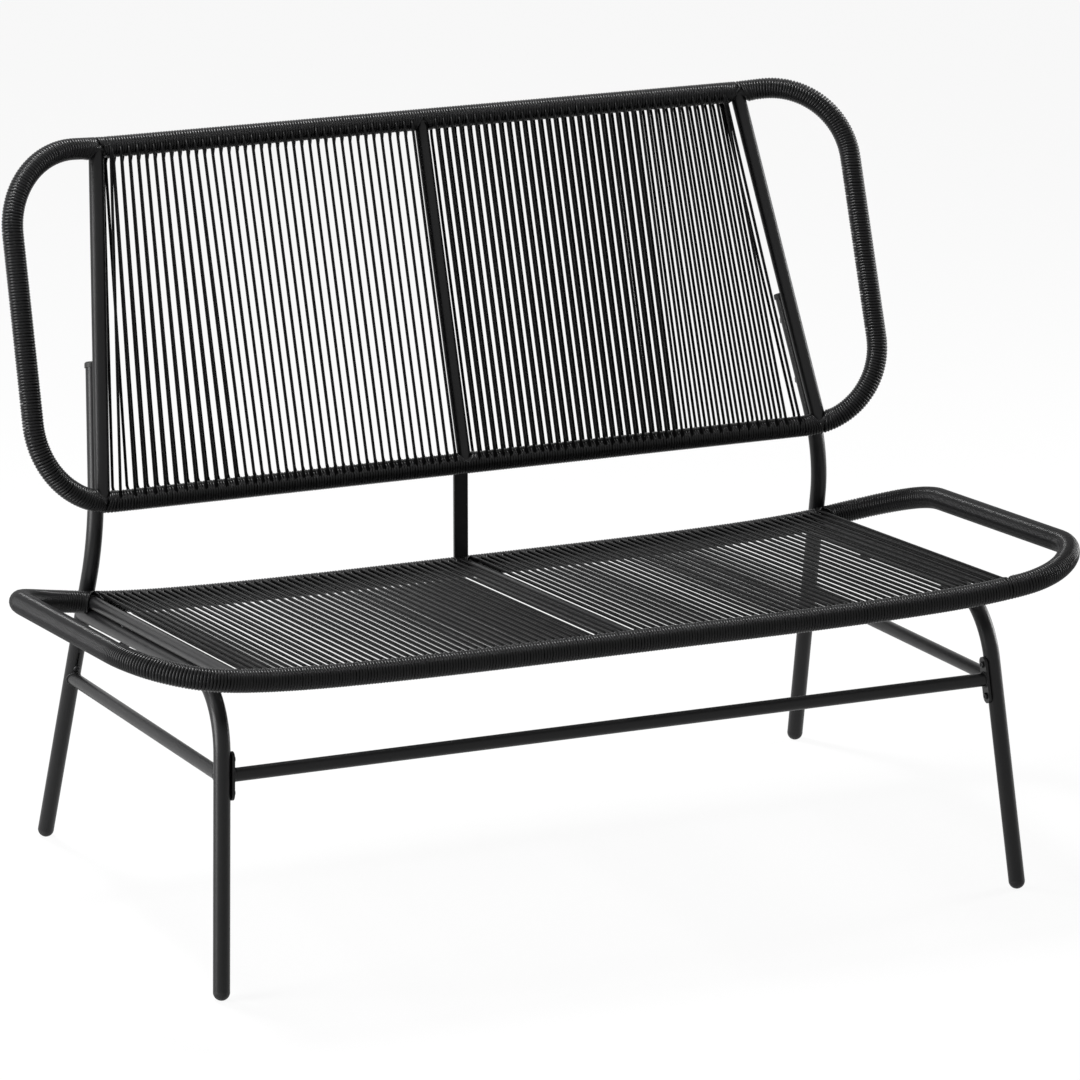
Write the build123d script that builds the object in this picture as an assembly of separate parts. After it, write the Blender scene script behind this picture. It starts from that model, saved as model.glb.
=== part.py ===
from build123d import *
from math import acos, asin, atan, cos, pi, sin, sqrt, tan
import os

os.makedirs("parts", exist_ok=True)

# Tubes and cord (mm)
LEG_TUBE = 19.5
LEG_WALL = 2.0
BRACE_TUBE = 16.0
BRACE_WALL = 1.2
SEAT_TUBE = 19.0
BACK_TUBE = 18.0
RING_WALL = 1.5
CORD = 3.6
TOUCH_GAP = 0.3
HALF = 0.5
DOUBLE = 2.0
RAIL_STEPS = 4
CORNER_STEPS = 3
BACK_CORNER_STEPS = 3
SHEET_STEPS = 12
SAME_WAY = 0.9999999
MIRROR = -1.0

# Side frames: slopes are run per unit of height
FOOT_X = 500.9
REAR_FOOT_Y = 629.75
LEG_SPLAY = 0.0707
FRONT_LEAN = 0.1495
REAR_LEAN = 0.322
FRONT_BEND_RADIUS = 83.0
REAR_BEND_RADIUS = 177.0
BRACE_FRONT_Z = 251.6
BRACE_REAR_Z = 218.9
UPRIGHT_TOP_Z = 596.0

# Seat ring, axis of the tube
SEAT_FRONT_Y = -14.5
SEAT_FRONT_Z = 368.1
SEAT_REAR_Y = 502.6
SEAT_REAR_Z = 317.6
SEAT_HALF_WIDTH = 591.5
SEAT_CORNER = 100.0
SEAT_SIDE_X = 477.0
WING_START_X = 150.0
ARCH_RISE = 9.55
TIP_RISE = 26.75
TIP_POWER = 6
WING_LENGTH = SEAT_HALF_WIDTH - WING_START_X

# Back ring, axis of the tube, in its reclined plane
BACK_FOOT_Y = 490.5
BACK_FOOT_Z = 451.3
BACK_RECLINE = 0.3735
BACK_HEIGHT = 419.3
BACK_HALF_BOTTOM = 550.7
BACK_HALF_TOP = 544.4
BACK_CORNER_BOTTOM = 97.0
BACK_CORNER_TOP = 99.0
BACK_SIDE_BOTTOM = 465.7
BACK_SIDE_TOP = 415.9
FOLD_INSET = 7.3
FOLD_RADIUS = 31.0
FOLD_ANGLE = 0.263
CENTRE_X = -5.4
CENTRE_TOP_X = -3.0
SEAT_CENTRE_X = 5.0

# Strings
BACK_STRINGS = 39
STRING_STRIP = 3.0
STRING_BED = 0.6
STRING_PROUD = 0.3
FIELD_EDGE = 15.3
CLOSE_GAPS = 26
CLOSE_PITCH = 10.2
WIDE_PITCH = 12.9
TOP_PITCH = 10.36
END_GAP_BOTTOM = 18.6
END_GAP_TOP = 4.0
SEAT_STRINGS = 45
SEAT_LOWER_STRINGS = 44
SEAT_MIDDLE_X = 0.35
SEAT_FIRST_STRING = 10.15
SEAT_PITCH = 10.45
SHEET_HEIGHT = 60.0

# Small parts
FOOT_FLAT = 0.6
FOOT_RIM = 1.0
PLUG_LENGTH = 16.0
PLUG_GAP = 0.15
TOP_CAP_RISE = 7.0
TOP_CAP_LIP = 1.2
TOP_CAP_ROUND = 2.5
PLATE_LENGTH = 56.0
PLATE_WIDTH = 16.0
PLATE_THICK = 3.2
SCREW_PITCH = 38.0
SCREW_HEAD = 8.0
SCREW_HEAD_RISE = 2.4
SCREW_HEAD_ROUND = 1.0
SCREW_SHANK = 4.2
SCREW_REACH = 7.0
STRAP_WIDTH = 17.6
STRAP_THICK = 4.0
STRAP_OVERLAP = 7.0
BOLT_SHANK = 6.0
BOLT_HEAD = 10.0
BOLT_HEAD_RISE = 4.0
BOLT_HEAD_SIDES = 6
WASHER = 13.0
WASHER_THICK = 1.2
SEAT_BOLT_FRONT = 175.0
SEAT_BOLT_REAR = 400.0
BACK_BOLT_LOW = 60.0
BACK_BOLT_HIGH = 135.0
STRAP_SCREW_DROP = 4.5
LEG_SCREW_Z = 237.5
SLOT_WIDTH = 1.4
SLOT_LENGTH = 22.0
BOX_REACH = 2000.0

# Origin of the row: middle of the footprint, on the floor
BACK_COS = 1 / sqrt(1 + BACK_RECLINE * BACK_RECLINE)
BACK_SIN = BACK_RECLINE * BACK_COS
LEG_R = LEG_TUBE * HALF
BRACE_R = BRACE_TUBE * HALF
SEAT_R = SEAT_TUBE * HALF
BACK_R = BACK_TUBE * HALF
SEAT_WOUND_R = SEAT_R + CORD
BACK_WOUND_R = BACK_R + CORD
FRONT_MOST_Y = SEAT_FRONT_Y - SEAT_WOUND_R
REAR_MOST_Y = BACK_FOOT_Y + BACK_HEIGHT * BACK_SIN + BACK_WOUND_R
MIDDLE_Y = (FRONT_MOST_Y + REAR_MOST_Y) * HALF


def at(x, y, z):
    return Vector(x, y - MIDDLE_Y, z)


def unit(vector):
    return vector.normalized()


def bar(path, radius):
    start = Plane(origin=path @ 0, z_dir=path % 0)
    return sweep(start * Circle(radius), path=path)


def tube(path, radius, wall):
    return bar(path, radius) - bar(path, radius - wall)


def rod(start, end, radius):
    return bar(Edge.make_line(start, end), radius)


def rounded_path(points, radii, closed):
    # Straight runs joined by arcs that touch them; radius 0 marks an end
    count = len(points)
    corners = []
    for i in range(count):
        here = points[i]
        if radii[i] == 0:
            corners.append((here, None, here))
            continue
        into = unit(here - points[i - 1])
        away = unit(points[(i + 1) % count] - here)
        half_turn = acos(into.dot(away)) * HALF
        reach = radii[i] * tan(half_turn)
        start = here - into * reach
        end = here + away * reach
        centre = here + unit(away - into) * (radii[i] / cos(half_turn))
        middle = centre - unit(away - into) * radii[i]
        corners.append((start, middle, end))
    edges = []
    for i in range(count):
        start, middle, end = corners[i]
        if middle is not None:
            edges.append(Edge.make_three_point_arc(start, middle, end))
        if i + 1 < count or closed:
            edges.append(Edge.make_line(end, corners[(i + 1) % count][0]))
    return Wire(edges)


def single(shape):
    # The one piece with the most volume
    return max(shape.solids(), key=lambda piece: piece.volume)


def save(name, shape):
    pieces = shape if isinstance(shape, list) else [single(shape)]
    for piece in pieces:
        piece.label = name
    body = pieces[0] if len(pieces) == 1 else Compound(pieces)
    body.label = name
    export_step(body, "parts/" + name + ".step")


# Planes of the seat and the back
seat_run = unit(at(0, SEAT_REAR_Y, SEAT_REAR_Z) - at(0, SEAT_FRONT_Y, SEAT_FRONT_Z))
seat_up = Vector(0, -seat_run.Z, seat_run.Y)
seat_depth = (at(0, SEAT_REAR_Y, SEAT_REAR_Z) - at(0, SEAT_FRONT_Y, SEAT_FRONT_Z)).length
back_run = Vector(0, BACK_SIN, BACK_COS)
back_front = Vector(0, -BACK_COS, BACK_SIN)
across = Vector(1, 0, 0)


def wing_height(x):
    # A gentle arch plus a sharp lift towards the tip
    past = max(abs(x) - WING_START_X, 0) / WING_LENGTH
    return ARCH_RISE * past * past + TIP_RISE * past ** TIP_POWER


def wing_slope(x):
    past = max(abs(x) - WING_START_X, 0) / WING_LENGTH
    gentle = DOUBLE * ARCH_RISE * past
    sharp = TIP_POWER * TIP_RISE * past ** (TIP_POWER - 1)
    return (gentle + sharp) / WING_LENGTH


def seat_point(x, w, lift=0):
    base = at(x, SEAT_FRONT_Y, SEAT_FRONT_Z)
    return base + seat_run * w + seat_up * (wing_height(x) + lift)


def back_point(x, v, lift=0):
    return at(x, BACK_FOOT_Y, BACK_FOOT_Z) + back_run * v + back_front * lift


# Seat ring: straight rails joined by two wings that rise and turn
def touching_arcs(start, leaving, end, arriving):
    # Two arcs that touch each other and both given directions
    gap = end - start
    both = leaving + arriving
    spread = DOUBLE * (1 - leaving.dot(arriving))
    along = gap.dot(both)
    reach = (sqrt(along * along + spread * gap.dot(gap)) - along) / spread
    first = start + leaving * reach
    last = end - arriving * reach
    middle = (first + last) * HALF
    turning = unit(last - first)
    return [Edge.make_tangent_arc(start, leaving, middle),
            Edge.make_tangent_arc(middle, turning, end)]


def wing_stations(side):
    # Points and directions from the rail to the straight part of the wing
    shoulder = SEAT_HALF_WIDTH - SEAT_CORNER
    spots = []
    for i in range(RAIL_STEPS + 1):
        spots.append((WING_START_X + (shoulder - WING_START_X) * i / RAIL_STEPS, 0))
    for i in range(1, CORNER_STEPS + 1):
        turn = pi * HALF * i / CORNER_STEPS
        spots.append((shoulder + SEAT_CORNER * sin(turn), turn))
    stations = []
    for x, turn in spots:
        depth = SEAT_CORNER - SEAT_CORNER * cos(turn)
        outward = across * side + seat_up * wing_slope(x)
        stations.append((seat_point(side * x, depth), unit(outward * cos(turn) + seat_run * sin(turn))))
    return stations


def half_wing(stations):
    edges = []
    for i in range(len(stations) - 1):
        edges = edges + touching_arcs(*stations[i], *stations[i + 1])
    return edges


def to_rear(station):
    # The same station mirrored to the rear half of the wing
    place, direction = station
    depth = (place - seat_point(0, 0)).dot(seat_run)
    moved = place + seat_run * (seat_depth - DOUBLE * depth)
    return moved, seat_run * (DOUBLE * direction.dot(seat_run)) - direction


wings = []
for side in (1, MIRROR):
    front_half = wing_stations(side)
    rear_half = [to_rear(station) for station in front_half[::-1]]
    straight = Edge.make_line(front_half[-1][0], rear_half[0][0])
    wings.append(half_wing(front_half) + [straight] + half_wing(rear_half))
right_wing, left_wing = wings
seat_rear_edge = Edge.make_line(right_wing[-1] @ 1, left_wing[-1] @ 1)
seat_front_edge = Edge.make_line(left_wing[0] @ 0, right_wing[0] @ 0)
seat_path = Wire(right_wing + [seat_rear_edge] + left_wing + [seat_front_edge])
seat_solid = bar(seat_path, SEAT_R)
seat_bore = bar(seat_path, SEAT_R - RING_WALL)
seat_skin = bar(seat_path, SEAT_WOUND_R)

# Back ring: a rounded outline whose ends are folded forward outside the side tubes
side_lean = (BACK_HALF_BOTTOM - BACK_HALF_TOP) / BACK_HEIGHT
fold_lean = (BACK_SIDE_TOP - BACK_SIDE_BOTTOM) / BACK_HEIGHT
lean_angle = atan(side_lean)


def fold_start(v):
    return BACK_SIDE_BOTTOM + fold_lean * v - FOLD_INSET


def folded(side, u, v, du, dv):
    # Place and direction on the folded outline of flat place u, v and direction du, dv
    past = max(u - fold_start(v), 0)
    angle = min(past / FOLD_RADIUS, FOLD_ANGLE)
    rest = past - FOLD_RADIUS * angle
    inward = min(u, fold_start(v))
    x = inward + FOLD_RADIUS * sin(angle) + rest * cos(angle)
    lift = FOLD_RADIUS * (1 - cos(angle)) + rest * sin(angle)
    moving = du - fold_lean * dv
    direction = across * (side * (fold_lean * dv + cos(angle) * moving))
    direction = direction + back_run * dv + back_front * (sin(angle) * moving)
    return back_point(side * x, v, lift), unit(direction)


def corner_stations(side, half_width, radius, turning, v_start, way):
    # From the rail's fold to the end of one corner; way is up or down the outline
    centre = half_width - radius * tan(turning * HALF)
    stations = []
    turn = 0
    for u in sorted([centre, fold_start(v_start), fold_start(v_start) + FOLD_RADIUS * FOLD_ANGLE]):
        turn = asin(max(u - centre, 0) / radius)
        v = v_start + way * radius * (1 - cos(turn))
        stations.append(folded(side, u, v, cos(turn), way * sin(turn)))
    for i in range(1, BACK_CORNER_STEPS + 1):
        here = turn + (turning - turn) * i / BACK_CORNER_STEPS
        u = centre + radius * sin(here)
        v = v_start + way * radius * (1 - cos(here))
        stations.append(folded(side, u, v, cos(here), way * sin(here)))
    return stations


def chain(stations):
    edges = []
    for i in range(len(stations) - 1):
        start, leaving = stations[i]
        end, arriving = stations[i + 1]
        if leaving.dot(unit(end - start)) > SAME_WAY:
            edges.append(Edge.make_line(start, end))
        else:
            edges = edges + touching_arcs(start, leaving, end, arriving)
    return edges


back_ends = []
for side in (1, MIRROR):
    low_turn = pi * HALF + lean_angle
    high_turn = pi * HALF - lean_angle
    low = corner_stations(side, BACK_HALF_BOTTOM, BACK_CORNER_BOTTOM, low_turn, 0, 1)
    high = corner_stations(side, BACK_HALF_TOP, BACK_CORNER_TOP, high_turn, BACK_HEIGHT, MIRROR)
    high = [(place, direction * MIRROR) for place, direction in high[::-1]]
    back_ends.append(chain(low + high))
right_end, left_end = back_ends
back_top_edge = Edge.make_line(right_end[-1] @ 1, left_end[-1] @ 1)
back_bottom_edge = Edge.make_line(left_end[0] @ 0, right_end[0] @ 0)
back_path = Wire(right_end + [back_top_edge] + left_end + [back_bottom_edge])
back_solid = bar(back_path, BACK_R)
back_bore = bar(back_path, BACK_R - RING_WALL)
back_skin = bar(back_path, BACK_WOUND_R)


# Tubes of the seat and the back
def seat_tube_line(x):
    return Edge.make_line(seat_point(x, 0), seat_point(x, seat_depth))


def back_tube_line(bottom, top):
    return Edge.make_line(back_point(bottom, 0), back_point(top, BACK_HEIGHT))


seat_sides = {}
back_sides = {}
back_lines = {}
for name, side in (("left", MIRROR), ("right", 1)):
    seat_sides[name] = bar(seat_tube_line(side * SEAT_SIDE_X), BRACE_R)
    back_lines[name] = back_tube_line(side * BACK_SIDE_BOTTOM, side * BACK_SIDE_TOP)
    back_sides[name] = bar(back_lines[name], BACK_R)
seat_centre = bar(seat_tube_line(SEAT_CENTRE_X), BRACE_R)
back_centre = bar(back_tube_line(CENTRE_X, CENTRE_TOP_X), BRACE_R)

# Side frames
UNDER_GAP = LEG_R + BRACE_R + TOUCH_GAP * HALF
BEHIND_GAP = LEG_R + BACK_R + TOUCH_GAP * HALF
front_lines = {}
rear_lines = {}
front_bars = {}
rear_bars = {}
front_axes = {}
rear_axes = {}


def on_front_leg(side, z):
    return at(side * (FOOT_X - LEG_SPLAY * z), FRONT_LEAN * z, z)


def on_rear_leg(side, z):
    return at(side * (FOOT_X - LEG_SPLAY * z), REAR_FOOT_Y - REAR_LEAN * z, z)


def height_on_plane(leg, side, point, normal):
    # Height at which a leg's axis meets the plane through point
    foot = leg(side, 0)
    rise = leg(side, 1) - foot
    return (point - foot).dot(normal) / rise.dot(normal)


cap_start_z = LEG_R - FOOT_FLAT
for name, side in (("left", MIRROR), ("right", 1)):
    under = seat_point(side * SEAT_SIDE_X, 0, -UNDER_GAP)
    knee_z = height_on_plane(on_front_leg, side, under, seat_up)
    join_z = height_on_plane(on_rear_leg, side, under, seat_up)
    behind = back_point(side * BACK_SIDE_BOTTOM, 0, -BEHIND_GAP)
    waist_z = height_on_plane(on_rear_leg, side, behind, back_front)
    knee = on_front_leg(side, knee_z)
    waist = on_rear_leg(side, waist_z)
    side_run = (back_lines[name] @ 1) - (back_lines[name] @ 0)
    top = waist + side_run * ((UPRIGHT_TOP_Z - waist.Z) / side_run.Z)
    front_axes[name] = unit(on_front_leg(side, 1) - on_front_leg(side, 0))
    rear_axes[name] = unit(on_rear_leg(side, 1) - on_rear_leg(side, 0))
    front_start = on_front_leg(side, cap_start_z) + front_axes[name] * FOOT_RIM
    rear_start = on_rear_leg(side, cap_start_z) + rear_axes[name] * FOOT_RIM
    front_points = [front_start, knee, on_rear_leg(side, join_z)]
    rear_points = [rear_start, waist, top]
    front_lines[name] = rounded_path(front_points, [0, FRONT_BEND_RADIUS, 0], False)
    rear_lines[name] = rounded_path(rear_points, [0, REAR_BEND_RADIUS, 0], False)
    front_bars[name] = bar(front_lines[name], LEG_R)
    rear_bars[name] = bar(rear_lines[name], LEG_R)

# Stretcher plates and screws on the inner faces of the front legs
plates = {}
screws = []
screw_cuts = {}
leg_screws = []
leg_screw_cuts = {}


def capped_screw(seat, outward, shank, reach, head, rise, round_off):
    # Round-headed screw: seat is where the head's underside sits
    top = Plane(origin=seat, z_dir=outward)
    cap = extrude(top * Circle(head * HALF), amount=rise)
    rim = cap.edges().filter_by(GeomType.CIRCLE).sort_by(lambda e: e.center().dot(outward))
    cap = fillet(rim[-1:], round_off)
    stem = rod(seat + outward * (rise * HALF), seat - outward * reach, shank * HALF)
    return single(cap + stem)


for name, side in (("left", MIRROR), ("right", 1)):
    spot = on_front_leg(side, BRACE_FRONT_Z)
    axis = front_axes[name]
    flat_in = unit(across * -side - axis * (across * -side).dot(axis))
    face_plane = Plane(origin=spot + flat_in * LEG_R, x_dir=axis, z_dir=flat_in)
    plate = extrude(face_plane * SlotOverall(PLATE_LENGTH, PLATE_WIDTH), amount=PLATE_THICK)
    cuts = []
    for way in (MIRROR, 1):
        centre = spot + axis * (way * SCREW_PITCH * HALF)
        seat = centre + flat_in * (LEG_R + PLATE_THICK)
        screws.append(capped_screw(
            seat, flat_in, SCREW_SHANK, SCREW_REACH, SCREW_HEAD, SCREW_HEAD_RISE, SCREW_HEAD_ROUND
        ))
        hole = rod(seat + flat_in * PLATE_THICK, seat - flat_in * (LEG_R + PLATE_THICK),
                   SCREW_SHANK * HALF + TOUCH_GAP * HALF)
        cuts.append(hole)
        plate = plate - hole
    plates[name] = single(plate)
    screw_cuts[name] = cuts[0] + cuts[1]
    spot = on_rear_leg(side, LEG_SCREW_Z)
    axis = rear_axes[name]
    front_way = Vector(0, -1, 0)
    front_way = unit(front_way - axis * front_way.dot(axis))
    seat = spot + front_way * LEG_R
    leg_screws.append(capped_screw(
        seat, front_way, SCREW_SHANK, SCREW_REACH, SCREW_HEAD, SCREW_HEAD_RISE, SCREW_HEAD_ROUND
    ))
    hole = rod(seat + front_way * PLATE_THICK, spot, SCREW_SHANK * HALF + TOUCH_GAP * HALF)
    slot_plane = Plane(origin=spot + axis * (SLOT_LENGTH * HALF), x_dir=axis, z_dir=front_way)
    slot = extrude(slot_plane * Rectangle(SLOT_LENGTH, SLOT_WIDTH), amount=LEG_R + PLATE_THICK)
    leg_screw_cuts[name] = hole + slot

# Bolts that hold the seat and the back on the side frames
seat_bolts = []
seat_bolt_cuts = []
back_bolts = []
back_bolt_cuts = []


def headed_bolt(seat, outward, reach):
    # Hexagon head and washer; seat is where the washer touches
    top = Plane(origin=seat, z_dir=outward)
    ring = extrude(top * Circle(WASHER * HALF), amount=WASHER_THICK)
    over = Plane(origin=seat + outward * WASHER_THICK, z_dir=outward)
    hexagon = extrude(over * RegularPolygon(BOLT_HEAD * HALF, BOLT_HEAD_SIDES, major_radius=False),
                      amount=BOLT_HEAD_RISE)
    stem = rod(seat + outward * WASHER_THICK, seat - outward * reach, BOLT_SHANK * HALF)
    return single(ring + hexagon + stem)


for name, side in (("left", MIRROR), ("right", 1)):
    for along in (SEAT_BOLT_FRONT, SEAT_BOLT_REAR):
        line = front_lines[name].edges()[-1]
        start = line @ 0
        run = line % 1
        target = seat_point(side * SEAT_SIDE_X, along)
        middle = start + run * ((target - start).dot(run))
        seat = middle - seat_up * LEG_R
        reach = LEG_TUBE + BRACE_R
        seat_bolts.append(headed_bolt(seat, -seat_up, reach))
        seat_bolt_cuts.append(rod(seat - seat_up * WASHER_THICK, seat + seat_up * (reach + TOUCH_GAP),
                                  BOLT_SHANK * HALF + TOUCH_GAP * HALF))
    for along in (BACK_BOLT_LOW, BACK_BOLT_HIGH):
        line = rear_lines[name].edges()[-1]
        end = line @ 1
        run = line % 1
        share = along / BACK_HEIGHT
        x = side * (BACK_SIDE_BOTTOM + (BACK_SIDE_TOP - BACK_SIDE_BOTTOM) * share)
        target = back_point(x, along)
        middle = end + run * ((target - end).dot(run))
        seat = middle - back_front * LEG_R
        reach = LEG_TUBE + BACK_R
        back_bolts.append(headed_bolt(seat, -back_front, reach))
        back_bolt_cuts.append(rod(seat - back_front * WASHER_THICK,
                                  seat + back_front * (reach + TOUCH_GAP),
                                  BOLT_SHANK * HALF + TOUCH_GAP * HALF))

# Centre strap behind the back's bottom rail, standing on the seat's rear rail
strap_y = BACK_FOOT_Y + BACK_WOUND_R + TOUCH_GAP + STRAP_THICK * HALF
strap_top = BACK_FOOT_Z + STRAP_OVERLAP
strap_low = SEAT_REAR_Z
strap_box = Box(STRAP_WIDTH, STRAP_THICK, strap_top - strap_low)
strap_middle = at(CENTRE_X, strap_y, (strap_top + strap_low) * HALF)
strap_full = strap_box.moved(Location(strap_middle))
strap = strap_full - seat_solid
strap_seat = at(CENTRE_X, strap_y + STRAP_THICK * HALF, BACK_FOOT_Z - STRAP_SCREW_DROP)
strap_reach = STRAP_THICK + TOUCH_GAP + CORD + DOUBLE * RING_WALL
strap_screw = capped_screw(strap_seat, Vector(0, 1, 0), SCREW_SHANK, strap_reach, SCREW_HEAD,
                           SCREW_HEAD_RISE, SCREW_HEAD_ROUND)
strap_hole = rod(strap_seat + Vector(0, STRAP_THICK, 0),
                 strap_seat - Vector(0, strap_reach + TOUCH_GAP, 0),
                 SCREW_SHANK * HALF + TOUCH_GAP * HALF)
strap = strap - strap_hole


# String fields: one holed face for each layer and field
def bottom_places(inner):
    # Close together near the middle, then wider, with one wide gap at the end
    places = []
    for i in range(BACK_STRINGS - 1):
        close = min(i, CLOSE_GAPS)
        places.append(inner + close * CLOSE_PITCH + (i - close) * WIDE_PITCH)
    return places + [places[-1] + END_GAP_BOTTOM]


def top_places(inner):
    places = [inner + i * TOP_PITCH for i in range(BACK_STRINGS - 1)]
    return places + [places[-1] + END_GAP_TOP]


def seat_places(side, count):
    inner = SEAT_FIRST_STRING + side * SEAT_MIDDLE_X
    return signed([inner + i * SEAT_PITCH for i in range(count)], side)


def holed_face(plane, lower, upper, low_y, high_y):
    edge = CORD * HALF
    outline = [(lower[0] - edge, low_y - STRING_STRIP), (lower[-1] + edge, low_y - STRING_STRIP),
               (upper[-1] + edge, high_y + STRING_STRIP), (upper[0] - edge, high_y + STRING_STRIP)]
    net = Polyline(*outline, close=True)
    holes = []
    for i in range(len(lower) - 1):
        corners = [(lower[i] + edge, low_y), (lower[i + 1] - edge, low_y),
                   (upper[i + 1] - edge, high_y), (upper[i] + edge, high_y)]
        holes.append(Wire(Polyline(*corners, close=True).edges()))
    face = Face(Wire(net.edges()), holes)
    return plane * face


def signed(places, side):
    moved = [side * place for place in places]
    return moved if side > 0 else moved[::-1]


NET_THICK = CORD - STRING_BED + STRING_PROUD
back_nets = {}
for name, side in (("left", MIRROR), ("right", 1)):
    lower = signed(bottom_places(FIELD_EDGE + side * CENTRE_X), side)
    upper = signed(top_places(FIELD_EDGE + side * CENTRE_TOP_X), side)
    for layer, way in (("front", 1), ("rear", MIRROR)):
        origin = back_point(0, 0, way * (BACK_R + STRING_BED))
        plane = Plane(origin=origin, x_dir=across, z_dir=across.cross(back_run))
        face = holed_face(plane, lower, upper, STRING_STRIP, BACK_HEIGHT - STRING_STRIP)
        back_nets[layer + "_" + name] = extrude(face, amount=NET_THICK, dir=back_front * way)

seat_nets = {}
for name, side in (("left", MIRROR), ("right", 1)):
    plane = Plane(origin=seat_point(0, 0, -SHEET_HEIGHT * HALF), x_dir=across, z_dir=seat_up)
    for layer, way, count in (("upper", 1, SEAT_STRINGS), ("lower", MIRROR, SEAT_LOWER_STRINGS)):
        places = seat_places(side, count)
        face = holed_face(plane, places, places, STRING_STRIP, seat_depth - STRING_STRIP)
        comb = extrude(face, amount=SHEET_HEIGHT + ARCH_RISE + TIP_RISE)
        near = (SEAT_R + STRING_BED) * way
        far = (SEAT_R + STRING_BED + NET_THICK) * way
        spots = [side * SEAT_SIDE_X * i / SHEET_STEPS for i in range(SHEET_STEPS + 1)]
        start = -STRING_STRIP
        near_curve = Edge.make_spline([seat_point(x, start, near) for x in spots])
        far_curve = Edge.make_spline([seat_point(x, start, far) for x in spots[::-1]])
        profile = Face(Wire([
            near_curve,
            Edge.make_line(near_curve @ 1, far_curve @ 0),
            far_curve,
            Edge.make_line(far_curve @ 1, near_curve @ 0),
        ]))
        sheet = extrude(profile, amount=seat_depth + DOUBLE * STRING_STRIP, dir=seat_run)
        seat_nets[layer + "_" + name] = single(comb & sheet)


def block(low, high):
    size = high - low
    return Box(size.X, size.Y, size.Z).moved(Location((low + high) * HALF))


def cut_away(shape, tools):
    for tool in tools:
        shape = shape - tool
    return single(shape)


# Windings: sleeves of cord on the rings, cut where tubes and strings leave
leg_bars = list(front_bars.values()) + list(rear_bars.values())
seat_sleeve = seat_skin - seat_solid
back_sleeve = back_skin - back_solid
seat_middle_y = seat_point(0, seat_depth * HALF).Y
back_middle_z = back_point(0, BACK_HEIGHT * HALF).Z
seat_fore = block(Vector(-SEAT_SIDE_X, -BOX_REACH, 0), Vector(SEAT_SIDE_X, seat_middle_y, BOX_REACH))
seat_aft = block(Vector(-SEAT_SIDE_X, seat_middle_y, 0), Vector(SEAT_SIDE_X, BOX_REACH, BOX_REACH))
back_low = block(Vector(-BACK_SIDE_BOTTOM, -BOX_REACH, 0),
                 Vector(BACK_SIDE_BOTTOM, BOX_REACH, back_middle_z))
back_high = block(Vector(-BACK_SIDE_TOP, -BOX_REACH, back_middle_z),
                  Vector(BACK_SIDE_TOP, BOX_REACH, BOX_REACH))
seat_tools = list(seat_sides.values()) + [seat_centre] + leg_bars
back_tools = list(back_sides.values()) + [back_centre] + leg_bars
seat_windings = {
    "front": cut_away(seat_sleeve & seat_fore, seat_tools + list(seat_nets.values())),
    "rear": cut_away(seat_sleeve & seat_aft, seat_tools + [strap_full] + list(seat_nets.values())),
}
back_windings = {
    "bottom": cut_away(back_sleeve & back_low, back_tools + [strap_hole] + list(back_nets.values())),
    "top": cut_away(back_sleeve & back_high, back_tools + list(back_nets.values())),
}
for name, side in (("left", MIRROR), ("right", 1)):
    half_space = block(Vector(min(side * BOX_REACH, 0), -BOX_REACH, 0),
                       Vector(max(side * BOX_REACH, 0), BOX_REACH, BOX_REACH))
    outer = (seat_sleeve & half_space) - seat_fore - seat_aft
    seat_windings[name] = cut_away(outer, seat_tools)
    outer = (back_sleeve & half_space) - back_low - back_high
    back_windings[name] = cut_away(outer, back_tools)

# Foot caps and top caps
cap_specs = []
for name, side in (("left", MIRROR), ("right", 1)):
    cap_specs.append(("foot_cap_front_" + name, on_front_leg(side, cap_start_z), front_axes[name]))
    cap_specs.append(("foot_cap_rear_" + name, on_rear_leg(side, cap_start_z), rear_axes[name]))
floor_block = block(Vector(-BOX_REACH, -BOX_REACH, 0), Vector(BOX_REACH, BOX_REACH, BOX_REACH))
for name, centre, axis in cap_specs:
    dome = Sphere(LEG_R).moved(Location(centre))
    dome = dome & extrude(Plane(origin=centre, z_dir=-axis) * Circle(LEG_TUBE), amount=LEG_TUBE)
    rim = rod(centre, centre + axis * FOOT_RIM, LEG_R)
    plug = rod(centre, centre + axis * (FOOT_RIM + PLUG_LENGTH), LEG_R - LEG_WALL - PLUG_GAP)
    save(name, (dome + rim + plug) & floor_block)
for name in ("left", "right"):
    line = rear_lines[name]
    end = line @ 1
    axis = line % 1
    cap = extrude(Plane(origin=end, z_dir=axis) * Circle(LEG_R + TOP_CAP_LIP), amount=TOP_CAP_RISE)
    rim = cap.edges().filter_by(GeomType.CIRCLE).sort_by(lambda e: e.center().Z)
    cap = fillet(rim[-1:], TOP_CAP_ROUND)
    cap = cap - rod(back_lines[name] @ 0, back_lines[name] @ 1, BACK_R + TOUCH_GAP)
    plug = rod(end - axis * PLUG_LENGTH, end + axis, LEG_R - LEG_WALL - PLUG_GAP)
    save("upright_cap_" + name, cap + plug)

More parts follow.
